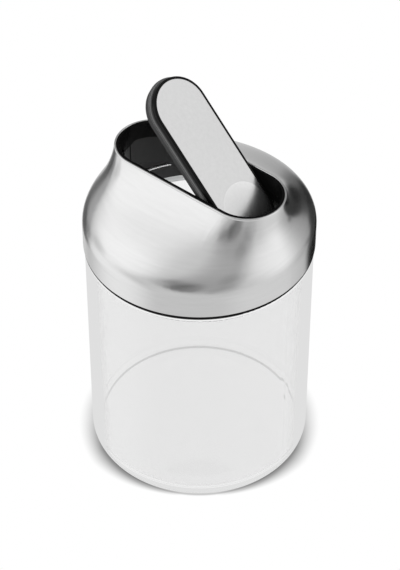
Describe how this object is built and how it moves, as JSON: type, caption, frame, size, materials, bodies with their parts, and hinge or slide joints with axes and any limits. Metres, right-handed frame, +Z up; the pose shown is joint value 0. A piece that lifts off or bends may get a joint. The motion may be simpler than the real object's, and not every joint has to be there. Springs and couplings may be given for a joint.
{
  "type": "food storage container",
  "caption": "Round glass storage jar with a domed steel lid whose long flap tips open about a hinge when its short end is pushed down.",
  "frame": {"origin": "middle of the jar's foot, on the table", "axes": "+Z up, +X towards the end of the flap that is pushed down, +Y to the hinge's back pin"},
  "size_m": [0.1116, 0.1116, 0.2102],
  "materials": {
    "glass": "clear, glossy",
    "steel": "satin, deep drawn",
    "black_moulding": "satin black",
    "clear_silicone": "translucent, soft",
    "pin_steel": "bright drawn",
    "black_rubber": "soft, matt",
    "flap_moulding": "smooth black",
    "face_steel": "fine satin",
    "pad_foam": "closed-cell foam",
    "grey_rubber": "soft, dark grey"
  },
  "bodies": {
    "jar": {"glass_jar": "glass"},
    "lid": {"steel_cap": "steel", "mouth_liner": "black_moulding", "lid_collar": "black_moulding", "jar_seal": "clear_silicone", "hinge_pin_back": "pin_steel", "hinge_pin_front": "pin_steel"},
    "flap": {"flap_frame": "flap_moulding", "flap_face": "face_steel", "face_pad": "pad_foam", "flap_seal": "grey_rubber", "flap_cover": "black_moulding", "flap_screws": "pin_steel", "hinge_ring_back": "black_rubber", "hinge_ring_front": "black_rubber"}
  },
  "joints": [
    {"name": "lid_lift", "type": "slide", "parent": "jar", "child": "lid", "axis": [0, 0, 1], "range_m": [0, 0.06]},
    {"name": "flap_tilt", "type": "hinge", "parent": "lid", "child": "flap", "pos_m": [0.018, 0, 0.1621], "axis": [0, -1, 0], "range_deg": [0, 45.3]}
  ]
}
